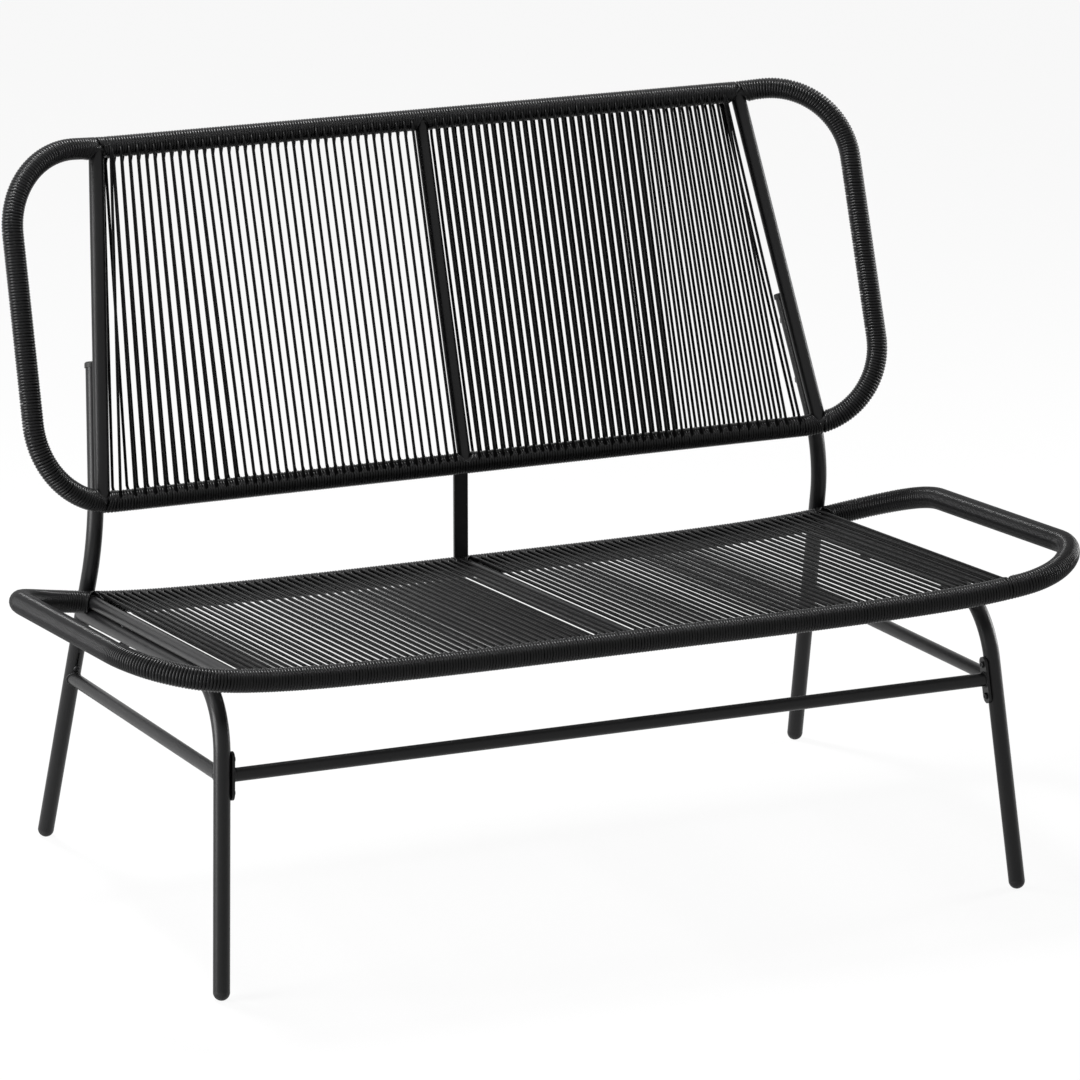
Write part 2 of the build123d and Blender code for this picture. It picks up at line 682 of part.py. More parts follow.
# Metal frame; the rear rail rests in a shallow saddle of each under-seat tube
seat_saddle = bar(seat_path, SEAT_R + TOUCH_GAP * HALF)
save("seat_ring_tube", (seat_solid - seat_bore))
back_ring = back_solid - back_bore - strap_hole
save("back_ring_tube", back_ring)
for name, side in (("left", MIRROR), ("right", 1)):
    piece = seat_sides[name] - bar(seat_tube_line(side * SEAT_SIDE_X), BRACE_R - BRACE_WALL)
    piece = piece - seat_solid
    for cut in seat_bolt_cuts:
        piece = piece - cut
    save("seat_side_tube_" + name, piece)
    piece = back_sides[name] - bar(back_lines[name], BACK_R - RING_WALL) - back_solid
    for cut in back_bolt_cuts:
        piece = piece - cut
    save("back_side_tube_" + name, piece)
    piece = front_bars[name] - bar(front_lines[name], LEG_R - LEG_WALL) - rear_bars[name]
    piece = piece - screw_cuts[name] - seat_saddle
    for cut in seat_bolt_cuts:
        piece = piece - cut
    save("front_leg_" + name, piece)
    piece = rear_bars[name] - bar(rear_lines[name], LEG_R - LEG_WALL) - leg_screw_cuts[name]
    for cut in back_bolt_cuts:
        piece = piece - cut
    save("rear_leg_" + name, piece)
    start = on_front_leg(side, BRACE_FRONT_Z)
    end = on_rear_leg(side, BRACE_REAR_Z)
    piece = rod(start, end, BRACE_R) - rod(start, end, BRACE_R - BRACE_WALL)
    save("side_stretcher_" + name, piece - front_bars[name] - rear_bars[name])
    save("stretcher_plate_" + name, plates[name])
piece = seat_centre - bar(seat_tube_line(SEAT_CENTRE_X), BRACE_R - BRACE_WALL) - seat_solid
save("seat_centre_tube", piece)
piece = back_centre - bar(back_tube_line(CENTRE_X, CENTRE_TOP_X), BRACE_R - BRACE_WALL) - back_solid
save("back_centre_tube", piece)
start = on_front_leg(MIRROR, BRACE_FRONT_Z)
end = on_front_leg(1, BRACE_FRONT_Z)
piece = rod(start, end, BRACE_R) - rod(start, end, BRACE_R - BRACE_WALL)
for name in ("left", "right"):
    piece = piece - front_bars[name] - plates[name]
piece = single(piece)
save("front_stretcher", piece)
save("centre_strap", strap)

# Fasteners, one node for each kind
save("stretcher_screws", screws)
save("rear_leg_screws", leg_screws)
save("seat_bolts", seat_bolts)
save("back_bolts", back_bolts)
save("strap_screw", strap_screw)

# Cord
for name, piece in seat_windings.items():
    save("seat_winding_" + name, piece)
for name, piece in back_windings.items():
    save("back_winding_" + name, piece)
for name, piece in seat_nets.items():
    save("seat_strings_" + name, piece)
for name, piece in back_nets.items():
    save("back_strings_" + name, piece)
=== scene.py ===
from math import atan, pi, radians, sqrt, tan

import bpy
import numpy as np
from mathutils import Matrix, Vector


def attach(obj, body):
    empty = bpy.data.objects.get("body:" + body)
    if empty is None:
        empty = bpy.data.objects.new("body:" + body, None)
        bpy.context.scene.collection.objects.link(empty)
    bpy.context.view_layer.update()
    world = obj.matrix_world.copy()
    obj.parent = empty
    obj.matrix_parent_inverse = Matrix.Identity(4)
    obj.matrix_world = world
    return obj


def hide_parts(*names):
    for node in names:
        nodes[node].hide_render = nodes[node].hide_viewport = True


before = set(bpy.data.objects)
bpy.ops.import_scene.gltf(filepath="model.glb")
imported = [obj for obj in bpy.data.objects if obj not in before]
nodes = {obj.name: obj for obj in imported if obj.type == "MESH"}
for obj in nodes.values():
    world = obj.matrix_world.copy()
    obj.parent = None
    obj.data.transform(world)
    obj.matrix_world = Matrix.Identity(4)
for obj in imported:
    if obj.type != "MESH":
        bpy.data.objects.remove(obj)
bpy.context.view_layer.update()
BODY = "root"
SIDES = (("left", -1), ("right", 1))

# Tubes and cord, metres, as in the solids
SEAT_TUBE_R = 0.0095
BACK_TUBE_R = 0.009
BRACE_R = 0.008
LEG_R = 0.00975
CORD_R = 0.0018

# Cord as it looks where it is wound and on the seat, a little bolder, and how loosely it is wound
TURN_R = 0.00195
TURN_SLACK = 0.00035
SEAT_STRING_R = 0.00195

# Seat ring, axis of the tube
SEAT_FRONT_Y = -0.0145
SEAT_FRONT_Z = 0.3681
SEAT_REAR_Y = 0.5026
SEAT_REAR_Z = 0.3176
SEAT_HALF_WIDTH = 0.5915
SEAT_CORNER = 0.1
SEAT_SIDE_X = 0.477
SEAT_CENTRE_X = 0.005
WING_START_X = 0.15
ARCH_RISE = 0.00955
TIP_RISE = 0.02675
TIP_POWER = 6

# Back ring, its sides folded forward
BACK_FOOT_Y = 0.4905
BACK_FOOT_Z = 0.4513
BACK_RECLINE = 0.3735
BACK_HEIGHT = 0.4193
BACK_HALF_BOTTOM = 0.5507
BACK_HALF_TOP = 0.5444
BACK_CORNER_BOTTOM = 0.097
BACK_CORNER_TOP = 0.099
BACK_SIDE_BOTTOM = 0.4657
BACK_SIDE_TOP = 0.4159
FOLD_INSET = 0.0073
FOLD_RADIUS = 0.031
FOLD_ANGLE = 0.263
CENTRE_X = -0.0054
CENTRE_TOP_X = -0.003

# Legs, stretchers and screws, slopes as run per unit of height
FOOT_X = 0.5009
REAR_FOOT_Y = 0.62975
LEG_SPLAY = 0.0707
FRONT_LEAN = 0.1495
REAR_LEAN = 0.322
BRACE_FRONT_Z = 0.2516
BRACE_REAR_Z = 0.2189
PLATE_THICK = 0.0032
SCREW_PITCH = 0.038
LEG_SCREW_Z = 0.2375
STRAP_FACE = 0.0169
STRAP_SCREW_DROP = 0.0045

# Strings of the back: close in the middle, wider apart at the sides
BACK_STRINGS = 39
FIELD_EDGE = 0.0153
CLOSE_GAPS = 26
CLOSE_PITCH = 0.01027
WIDE_PITCH = 0.01274
TOP_PITCH = 0.01029
END_GAP_BOTTOM = 0.0186
END_GAP_TOP = 0.002
# Shift of the rear layer against the front one, at the inmost and the outmost string
REAR_LAYER_SHIFT = {-1: (-0.0021, -0.0028), 1: (0.0006, 0.0038)}

# Strings of the seat
SEAT_STRINGS = 45
SEAT_LOWER_STRINGS = 44
SEAT_MIDDLE_X = 0.00035
SEAT_FIRST_STRING = 0.01015
SEAT_PITCH = 0.01045
# How far they lie outward of even places, at distances from the middle
DRIFT_AT = (0.06, 0.14, 0.21, 0.28, 0.35, 0.42)
SEAT_DRIFT = {
    ("upper", -1): (0.0004, 0.0007, 0.0005, 0.0008, 0.0016, -0.0014),
    ("upper", 1): (-0.002, -0.0023, -0.0044, -0.0043, -0.002, -0.0019),
    ("lower", -1): (0.0045, 0.00475, 0.00475, 0.00535, 0.0024, 0.00355),
    ("lower", 1): (-0.0019, -0.0016, 0.0008, 0.0005, -0.0001, 0.0005),
}

# Origin: middle of the footprint, on the floor
FRONT_MOST_Y = SEAT_FRONT_Y - SEAT_TUBE_R - 2 * CORD_R
BACK_COS = 1 / sqrt(1 + BACK_RECLINE * BACK_RECLINE)
BACK_SIN = BACK_RECLINE * BACK_COS
REAR_MOST_Y = BACK_FOOT_Y + BACK_HEIGHT * BACK_SIN + BACK_TUBE_R + 2 * CORD_R
MIDDLE_Y = (FRONT_MOST_Y + REAR_MOST_Y) / 2

# Planes of the two rings: origin, way from the first rail to the other, and normal
ACROSS = np.array([1.0, 0.0, 0.0])
SEAT_ORIGIN = np.array([0.0, SEAT_FRONT_Y - MIDDLE_Y, SEAT_FRONT_Z])
SEAT_END = np.array([0.0, SEAT_REAR_Y - MIDDLE_Y, SEAT_REAR_Z])
SEAT_DEPTH = float(np.linalg.norm(SEAT_END - SEAT_ORIGIN))
SEAT_RUN = (SEAT_END - SEAT_ORIGIN) / SEAT_DEPTH
SEAT_UP = np.array([0.0, -SEAT_RUN[2], SEAT_RUN[1]])
BACK_ORIGIN = np.array([0.0, BACK_FOOT_Y - MIDDLE_Y, BACK_FOOT_Z])
BACK_RUN = np.array([0.0, BACK_SIN, BACK_COS])
BACK_FRONT = np.array([0.0, -BACK_COS, BACK_SIN])

SEED = 20
random = np.random.default_rng(SEED)


def wing_height(x):
    past = np.maximum(np.abs(x) - WING_START_X, 0) / (SEAT_HALF_WIDTH - WING_START_X)
    return ARCH_RISE * past ** 2 + TIP_RISE * past ** TIP_POWER


def placed(origin, run, normal, x, along, lift):
    x, along, lift = np.broadcast_arrays(x, along, lift)
    return origin + np.outer(x, ACROSS) + np.outer(along, run) + np.outer(lift, normal)


def seat_points(x, w, lift=0.0):
    return placed(SEAT_ORIGIN, SEAT_RUN, SEAT_UP, x, w, wing_height(x) + lift)


def back_points(x, v, lift=0.0):
    return placed(BACK_ORIGIN, BACK_RUN, BACK_FRONT, x, v, lift)


def unit_rows(rows):
    return rows / np.linalg.norm(rows, axis=-1, keepdims=True)


# Mesh building
def ring_faces(rings, sides):
    # Quads between neighbouring rings of points, and the two end faces
    start = np.arange(rings - 1)[:, None] * sides
    here = np.arange(sides)[None]
    after = (here + 1) % sides
    quads = np.stack([start + here, start + after, start + sides + after, start + sides + here], -1)
    ends = np.stack([np.arange(sides)[::-1], (rings - 1) * sides + np.arange(sides)])
    return quads.reshape(-1, 4), ends


def tube_mesh(centres, normals, radius, sides):
    # Rings of points around a line of centres, closed at both ends
    along = unit_rows(np.gradient(centres, axis=0))
    side = unit_rows(np.cross(along, normals))
    up = np.cross(side, along)
    angles = 2 * pi * np.arange(sides) / sides
    radius = np.broadcast_to(radius, len(centres))[:, None, None]
    ring = np.cos(angles)[None, :, None] * up[:, None] + np.sin(angles)[None, :, None] * side[:, None]
    points = (centres[:, None] + radius * ring).reshape(-1, 3)
    return points, *ring_faces(len(centres), sides)


def joined(parts):
    points = []
    quads = []
    ends = []
    count = 0
    for part_points, part_quads, part_ends in parts:
        points.append(part_points)
        quads.append(part_quads + count)
        ends.append(part_ends + count)
        count += len(part_points)
    return np.concatenate(points), np.concatenate(quads), np.concatenate(ends)


def mesh_piece(name, parts, slot, replaced=()):
    # One object of the joined parts, which stands for the nodes it replaces
    points, quads, ends = joined(parts)
    loops = np.concatenate([quads.ravel(), ends.ravel()])
    sizes = np.concatenate([np.full(len(quads), quads.shape[1]), np.full(len(ends), ends.shape[1])])
    mesh = bpy.data.meshes.new(name)
    mesh.vertices.add(len(points))
    mesh.vertices.foreach_set("co", points.ravel())
    mesh.loops.add(len(loops))
    mesh.loops.foreach_set("vertex_index", loops.astype(np.int32))
    mesh.polygons.add(len(sizes))
    mesh.polygons.foreach_set("loop_start", (np.cumsum(sizes) - sizes).astype(np.int32))
    mesh.update(calc_edges=True)
    mesh.validate()
    mesh.polygons.foreach_set("use_smooth", np.ones(len(mesh.polygons), dtype=bool))
    mesh.materials.append(finishes[slot])
    piece = bpy.data.objects.new(name, mesh)
    bpy.context.scene.collection.objects.link(piece)
    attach(piece, BODY)
    if replaced:
        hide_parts(*replaced)


# Materials
COLOUR_SCALE = 9.0
PATCH_SCALE = 60.0
GRAIN_DEPTH = 0.0002


def new_material(name):
    material = bpy.data.materials.new(name)
    material.use_nodes = True
    tree = material.node_tree
    return material, tree, tree.nodes["Principled BSDF"]


def noise(tree, coords, scale, detail, rough):
    node = tree.nodes.new("ShaderNodeTexNoise")
    node.inputs["Scale"].default_value = scale
    node.inputs["Detail"].default_value = detail
    node.inputs["Roughness"].default_value = rough
    tree.links.new(coords, node.inputs["Vector"])
    return node.outputs["Fac"]


def remap(tree, value, low, high):
    node = tree.nodes.new("ShaderNodeMapRange")
    node.inputs["To Min"].default_value = low
    node.inputs["To Max"].default_value = high
    tree.links.new(value, node.inputs["Value"])
    return node.outputs["Result"]


def mixed_colour(tree, value, low, high):
    node = tree.nodes.new("ShaderNodeMix")
    node.data_type = "RGBA"
    node.inputs["A"].default_value = (*low, 1)
    node.inputs["B"].default_value = (*high, 1)
    tree.links.new(value, node.inputs["Factor"])
    return node.outputs["Result"]


def bumped(tree, shader, height, strength, distance):
    node = tree.nodes.new("ShaderNodeBump")
    node.inputs["Strength"].default_value = strength
    node.inputs["Distance"].default_value = distance
    tree.links.new(height, node.inputs["Height"])
    tree.links.new(node.outputs["Normal"], shader.inputs["Normal"])


def finish_material(name, dark, light, rough, grain, grain_strength, gloss, metallic=0.0):
    # Dark coating: slow colour change, fine grain in the bump, patchy roughness
    material, tree, shader = new_material(name)
    shader.inputs["Specular IOR Level"].default_value = gloss
    shader.inputs["Metallic"].default_value = metallic
    coords = tree.nodes.new("ShaderNodeTexCoord").outputs["Object"]
    broad = noise(tree, coords, scale=COLOUR_SCALE, detail=3.0, rough=0.6)
    tree.links.new(mixed_colour(tree, broad, dark, light), shader.inputs["Base Color"])
    patch = noise(tree, coords, scale=PATCH_SCALE, detail=3.0, rough=0.55)
    tree.links.new(remap(tree, patch, *rough), shader.inputs["Roughness"])
    fine = noise(tree, coords, scale=grain, detail=4.0, rough=0.65)
    bumped(tree, shader, fine, grain_strength, GRAIN_DEPTH)
    return material


finishes = {}

# Satin powder coat of tubes, plates, strap and welds
finishes["powder_coat"] = finish_material(
    "powder_coat", dark=(0.006, 0.006, 0.0064), light=(0.009, 0.009, 0.0094), rough=(0.3, 0.42),
    grain=1400.0, grain_strength=0.12, gloss=0.2)

# Smooth round cord, wound on the rings
finishes["winding_cord"] = finish_material(
    "winding_cord", dark=(0.007, 0.007, 0.0073), light=(0.012, 0.012, 0.0124), rough=(0.2, 0.3),
    grain=900.0, grain_strength=0.1, gloss=0.12)

# The same cord strung straight, a copy of the winding cord with its colour painted darker as shade
finishes["string_cord"] = finish_material(
    "string_cord", dark=(0.002, 0.002, 0.0021), light=(0.004, 0.004, 0.0042), rough=(0.3, 0.4),
    grain=900.0, grain_strength=0.1, gloss=0.04)

# Moulded caps of feet and uprights
finishes["cap_plastic"] = finish_material(
    "cap_plastic", dark=(0.009, 0.009, 0.009), light=(0.016, 0.016, 0.016), rough=(0.42, 0.58),
    grain=1100.0, grain_strength=0.2, gloss=0.2)

# Black zinc of screws and bolts
finishes["fastener"] = finish_material(
    "fastener", dark=(0.02, 0.02, 0.021), light=(0.04, 0.04, 0.041), rough=(0.26, 0.4),
    grain=1600.0, grain_strength=0.15, gloss=0.2, metallic=0.6)

# Lines of the two rings
PATH_STEP = 0.001


def along_rail(points, up):
    steps = np.linalg.norm(np.diff(points, axis=0), axis=1)
    length = np.concatenate([[0.0], np.cumsum(steps)])
    tangent = unit_rows(np.gradient(points, length, axis=0))
    normal = unit_rows(up - (tangent @ up)[:, None] * tangent)
    return {"points": points, "length": length, "tangent": tangent, "normal": normal}


def spaced(start, end):
    count = max(int(abs(end - start) / PATH_STEP), 2)
    return np.linspace(start, end, count)


def quarter(radius):
    return np.linspace(0, pi / 2, int(radius * pi / 2 / PATH_STEP))


def seat_rail(w):
    # The rail between the two side tubes, from left to right
    x = np.linspace(-SEAT_SIDE_X, SEAT_SIDE_X, int(2 * SEAT_SIDE_X / PATH_STEP))
    return seat_points(x, w)


def seat_wing(side):
    # From the front rail out round the wing to the rear rail
    shoulder = SEAT_HALF_WIDTH - SEAT_CORNER
    turn = quarter(SEAT_CORNER)
    run = spaced(SEAT_SIDE_X, shoulder)[:-1]
    straight = spaced(SEAT_CORNER, SEAT_DEPTH - SEAT_CORNER)[1:-1]
    half_x = np.concatenate([run, shoulder + SEAT_CORNER * np.sin(turn)])
    half_w = np.concatenate([0 * run, SEAT_CORNER - SEAT_CORNER * np.cos(turn)])
    x = np.concatenate([half_x, 0 * straight + SEAT_HALF_WIDTH, half_x[::-1]])
    w = np.concatenate([half_w, straight, SEAT_DEPTH - half_w[::-1]])
    return seat_points(side * x, w)


def fold_start(v):
    return BACK_SIDE_BOTTOM + (BACK_SIDE_TOP - BACK_SIDE_BOTTOM) * v / BACK_HEIGHT - FOLD_INSET


def back_half():
    # Flat outline from the middle of the bottom rail to the middle of the top rail
    lean = atan((BACK_HALF_BOTTOM - BACK_HALF_TOP) / BACK_HEIGHT)
    low_turning = pi / 2 + lean
    high_turning = pi / 2 - lean
    low_centre = BACK_HALF_BOTTOM - BACK_CORNER_BOTTOM * tan(low_turning / 2)
    high_centre = BACK_HALF_TOP - BACK_CORNER_TOP * tan(high_turning / 2)
    low_turn = quarter(BACK_CORNER_BOTTOM) * low_turning / (pi / 2)
    high_turn = quarter(BACK_CORNER_TOP)[::-1] * high_turning / (pi / 2)
    low_u = low_centre + BACK_CORNER_BOTTOM * np.sin(low_turn)
    low_v = BACK_CORNER_BOTTOM * (1 - np.cos(low_turn))
    high_u = high_centre + BACK_CORNER_TOP * np.sin(high_turn)
    high_v = BACK_HEIGHT - BACK_CORNER_TOP * (1 - np.cos(high_turn))
    side_v = spaced(low_v[-1], high_v[0])
    side_u = np.interp(side_v, [low_v[-1], high_v[0]], [low_u[-1], high_u[0]])
    bottom = spaced(0, low_centre)[:-1]
    top = spaced(high_centre, 0)[1:]
    u = np.concatenate([bottom, low_u, side_u[1:-1], high_u, top])
    v = np.concatenate([0 * bottom, low_v, side_v[1:-1], high_v, 0 * top + BACK_HEIGHT])
    return u, v


def folded(side):
    # Half of the ring with its side folded forward
    u, v = back_half()
    past = np.maximum(u - fold_start(v), 0)
    angle = np.minimum(past / FOLD_RADIUS, FOLD_ANGLE)
    rest = past - FOLD_RADIUS * angle
    x = np.minimum(u, fold_start(v)) + FOLD_RADIUS * np.sin(angle) + rest * np.cos(angle)
    lift = FOLD_RADIUS * (1 - np.cos(angle)) + rest * np.sin(angle)
    return back_points(side * x, v, lift)


def back_rail(is_top):
    # The rail between the two side tubes, from left to right
    limit = BACK_SIDE_TOP if is_top else BACK_SIDE_BOTTOM
    halves = []
    for side in (-1, 1):
        points = folded(side)
        if is_top:
            points = points[::-1]
        inside = np.abs(points[:, 0]) <= limit
        halves.append(points[:int(np.argmin(inside))])
    return np.concatenate([halves[0][::-1], halves[1][1:]])


def back_end(side):
    # From the bottom rail out round the side to the top rail
    points = folded(side)
    x = np.abs(points[:, 0])
    start = int(np.argmax(x > BACK_SIDE_BOTTOM))
    stop = len(x) - int(np.argmax(x[::-1] > BACK_SIDE_TOP))
    return points[start:stop]


rails = {
    "seat_front": along_rail(seat_rail(0.0), SEAT_UP),
    "seat_rear": along_rail(seat_rail(SEAT_DEPTH), SEAT_UP),
    "seat_left": along_rail(seat_wing(-1), SEAT_UP),
    "seat_right": along_rail(seat_wing(1), SEAT_UP),
    "back_bottom": along_rail(back_rail(False), BACK_FRONT),
    "back_top": along_rail(back_rail(True), BACK_FRONT),
    "back_left": along_rail(back_end(-1), BACK_FRONT),
    "back_right": along_rail(back_end(1), BACK_FRONT),
}


# Places of the strings along the rails
def back_bottom_places(side):
    steps = np.arange(BACK_STRINGS - 1)
    close = np.minimum(steps, CLOSE_GAPS)
    inner = FIELD_EDGE + side * CENTRE_X
    places = inner + close * CLOSE_PITCH + (steps - close) * WIDE_PITCH
    return side * np.append(places, places[-1] + END_GAP_BOTTOM)


def back_top_places(side):
    places = FIELD_EDGE + side * CENTRE_TOP_X + np.arange(BACK_STRINGS - 1) * TOP_PITCH
    return side * np.append(places, places[-1] + END_GAP_TOP)


def seat_places(layer, side, count):
    even = SEAT_FIRST_STRING + side * SEAT_MIDDLE_X + np.arange(count) * SEAT_PITCH
    return side * (even + np.interp(even, DRIFT_AT, SEAT_DRIFT[layer, side]))


# Windings: one cord wound round the tube, pushed aside where a tube leaves the ring
TURN_PITCH = 0.00352
TURN_SAMPLES = 20
TURN_SIDES = 6
WANDER = 0.00016
SIDE_LIFT = 0.0012
# Gives a turn that lies exactly at a tube one side of it
NUDGE = 1e-9
# Room left for a tube: on its own side of the rail alone, or tapering all the way round
INNER_ONLY = 0.7
V_SHAPED = 1.4
CROSS_TUBE = {"reach": BRACE_R + CORD_R, "shape": INNER_ONLY, "spread": 0.014}
SLANTING_TUBE = {"reach": BACK_TUBE_R + CORD_R, "shape": V_SHAPED, "spread": 0.02}


def turn_knots(rail, places):
    # Whole turns between neighbouring strings, so that each string leaves on a turn
    x = rail["points"][:, 0]
    stops = np.interp(np.sort(places), x, rail["length"]) if len(places) else np.array([])
    stops = np.concatenate([[0.0], stops, [rail["length"][-1]]])
    gaps = np.diff(stops)
    turns = np.maximum(np.round(gaps / TURN_PITCH), 1)
    return stops, np.concatenate([[0.0], np.cumsum(turns)])


def rail_place(rail, x):
    return float(np.interp(x, rail["points"][:, 0], rail["length"]))


def turned(rail, length, turn):
    # Points of the rail's axis at these lengths, and the ways out from it at these turns
    centre, tangent, normal = [
        np.stack([np.interp(length, rail["length"], rail[key][:, i]) for i in range(3)], 1)
        for key in ("points", "tangent", "normal")]
    tangent = unit_rows(tangent)
    normal = unit_rows(normal)
    side = np.cross(normal, tangent)
    angle = 2 * pi * turn
    return centre, np.cos(angle)[:, None] * normal + np.sin(angle)[:, None] * side


def room_beside(tube, facing):
    # Room that a turn leaves for a tube, by how far it faces the tube
    if tube["shape"] == V_SHAPED:
        return tube["reach"] * (0.5 + 0.5 * np.maximum(facing, -1)) ** V_SHAPED
    return tube["reach"] * np.maximum(facing, 0) ** INNER_ONLY


def winding(rail, tube_r, places, crossings):
    stops, turns_at = turn_knots(rail, places)
    total = int(turns_at[-1])
    turn = np.linspace(0, total, total * TURN_SAMPLES + 1)
    length = np.interp(turn, turns_at, stops)
    wander = random.normal(0, WANDER, total + 1)
    wander[0] = 0
    wander[-1] = 0
    length = length + np.interp(turn, np.arange(total + 1), wander)
    outward = turned(rail, length, turn)[1]
    raised = np.zeros(len(turn))
    for place, tube, inward in crossings:
        need = room_beside(tube, outward @ inward)
        off = length - place
        near = np.abs(off) < tube["spread"]
        moved = np.sign(off + NUDGE) * (need + np.abs(off) * (1 - need / tube["spread"]))
        length = np.where(near, place + moved, length)
        # Where turns crowd, every second one rides higher
        crowd = np.where(near, 1 - np.abs(off) / tube["spread"], 0) * need / tube["reach"]
        raised += crowd * SIDE_LIFT * (np.floor(turn) % 2)
    length = np.clip(length, 0, rail["length"][-1])
    centre, outward = turned(rail, length, turn)
    centres = centre + (tube_r + CORD_R + TURN_SLACK + raised)[:, None] * outward
    return tube_mesh(centres, outward, TURN_R, TURN_SIDES)


def wind(ring, end, tube_r, places, end_tube, inward_at_ends, middle_x=None):
    rail = rails[ring + "_" + end]
    first_inward, last_inward = inward_at_ends
    crossings = [(0.0, end_tube, first_inward)]
    if middle_x is not None:
        crossings.append((rail_place(rail, middle_x), CROSS_TUBE, first_inward))
    crossings.append((rail["length"][-1], end_tube, last_inward))
    mesh_piece("wound_" + ring + "_" + end, [winding(rail, tube_r, places, crossings)],
               "winding_cord", [ring + "_winding_" + end])


seat_tops = np.concatenate([seat_places("upper", side, SEAT_STRINGS) for side in (-1, 1)])
back_bottoms = np.concatenate([back_bottom_places(side) for side in (-1, 1)])
back_tops = np.concatenate([back_top_places(side) for side in (-1, 1)])
for end, inward in (("front", SEAT_RUN), ("rear", -SEAT_RUN)):
    wind("seat", end, SEAT_TUBE_R, seat_tops, CROSS_TUBE, (inward, inward), SEAT_CENTRE_X)
for end, _ in SIDES:
    wind("seat", end, SEAT_TUBE_R, [], CROSS_TUBE, (SEAT_RUN, -SEAT_RUN))
wind("back", "bottom", BACK_TUBE_R, back_bottoms, SLANTING_TUBE, (BACK_RUN, BACK_RUN), CENTRE_X)
wind("back", "top", BACK_TUBE_R, back_tops, SLANTING_TUBE, (-BACK_RUN, -BACK_RUN), CENTRE_TOP_X)
for end, _ in SIDES:
    wind("back", end, BACK_TUBE_R, [], SLANTING_TUBE, (BACK_RUN, -BACK_RUN))

# Strings: taut cords between the turns of two rails
STRING_POINTS = 9
STRING_SIDES = 10
JOG_LENGTH = 0.018
BOW = 0.00025
HALF_TURN = TURN_PITCH / 2


def string_line(start, jogged_start, jogged_end, end, normal, radius):
    # Straight cord with a small sideways step near each rail and a slight bow
    span = np.linspace(0, 1, STRING_POINTS)[:, None]
    middle = jogged_start + (jogged_end - jogged_start) * span
    bow = random.uniform(-BOW, BOW)
    middle = middle + np.sin(pi * span) * bow * ACROSS
    centres = np.concatenate([[start], middle, [end]])
    return tube_mesh(centres, np.broadcast_to(normal, centres.shape), radius, STRING_SIDES)


def seat_strings(layer, side, way, count):
    # way is 1 over the rails and -1 under them, where the cord leaves half a turn later
    lift = way * (SEAT_TUBE_R + CORD_R)
    step = 0 if way > 0 else HALF_TURN
    cords = []
    for x in seat_places(layer, side, count):
        line = [seat_points(x + step, 0.0, lift)[0],
                seat_points(x, JOG_LENGTH, lift)[0],
                seat_points(x, SEAT_DEPTH - JOG_LENGTH, lift)[0],
                seat_points(x + step, SEAT_DEPTH, lift)[0]]
        cords.append(string_line(*line, SEAT_UP, SEAT_STRING_R))
    return cords


def back_strings(side, way):
    # way is 1 in front of the rails and -1 behind them
    lift = way * (BACK_TUBE_R + CORD_R)
    step = 0 if way > 0 else HALF_TURN
    shifts = np.zeros(BACK_STRINGS)
    if way < 0:
        shifts = np.linspace(*REAR_LAYER_SHIFT[side], BACK_STRINGS)
    cords = []
    for low, high, shift in zip(back_bottom_places(side), back_top_places(side), shifts):
        lean = (high - low) / BACK_HEIGHT * JOG_LENGTH
        line = [back_points(low + step, 0.0, lift)[0],
                back_points(low + lean + shift, JOG_LENGTH, lift)[0],
                back_points(high - lean + shift, BACK_HEIGHT - JOG_LENGTH, lift)[0],
                back_points(high + step, BACK_HEIGHT, lift)[0]]
        cords.append(string_line(*line, BACK_FRONT, CORD_R))
    return cords


# Strings take the copy of the cord whose colour is painted darker as shade
for name, side in SIDES:
    for layer, way, count in (("upper", 1, SEAT_STRINGS), ("lower", -1, SEAT_LOWER_STRINGS)):
        mesh_piece("strung_seat_" + layer + "_" + name, seat_strings(layer, side, way, count),
                   "string_cord", ["seat_strings_" + layer + "_" + name])
    for layer, way in (("front", 1), ("rear", -1)):
        mesh_piece("strung_back_" + layer + "_" + name, back_strings(side, way),
                   "string_cord", ["back_strings_" + layer + "_" + name])


# Points and ways on the legs' axes
def front_leg_point(side, z):
    return np.array([side * (FOOT_X - LEG_SPLAY * z), FRONT_LEAN * z - MIDDLE_Y, z])


def rear_leg_point(side, z):
    return np.array([side * (FOOT_X - LEG_SPLAY * z), REAR_FOOT_Y - REAR_LEAN * z - MIDDLE_Y, z])


def leg_way(leg_point, side):
    return unit_rows(leg_point(side, 1.0) - leg_point(side, 0.0))


def square_to(way, post):
    return unit_rows(way - (way @ post) * post)


# Weld beads where the stretchers meet the legs
WELD_R = 0.0013
WELD_OUT = 0.0003
WELD_RIPPLES = 26
WELD_RIPPLE_STEPS = 6
WELD_RIPPLE = 0.16
WELD_UNEVEN = WELD_RIPPLE / 4
WELD_SIDES = 8


def weld_bead(offsets, centres):
    # Rippled bead along a closed curve round a tube
    turn = np.linspace(0, 2 * pi * WELD_RIPPLES, len(centres))
    uneven = random.normal(0, WELD_UNEVEN, len(centres))
    uneven[-1] = uneven[0]
    radius = WELD_R * (1 + WELD_RIPPLE * np.cos(turn) + uneven)
    return tube_mesh(centres, unit_rows(offsets), radius, WELD_SIDES)


def round_tube(way, radius):
    # Offsets from a tube's axis to its skin, once round
    side = unit_rows(np.cross(way, [0.0, 0.0, 1.0]))
    angles = np.linspace(0, 2 * pi, WELD_RIPPLES * WELD_RIPPLE_STEPS + 1)[:, None]
    return radius * (np.cos(angles) * side + np.sin(angles) * np.cross(way, side))


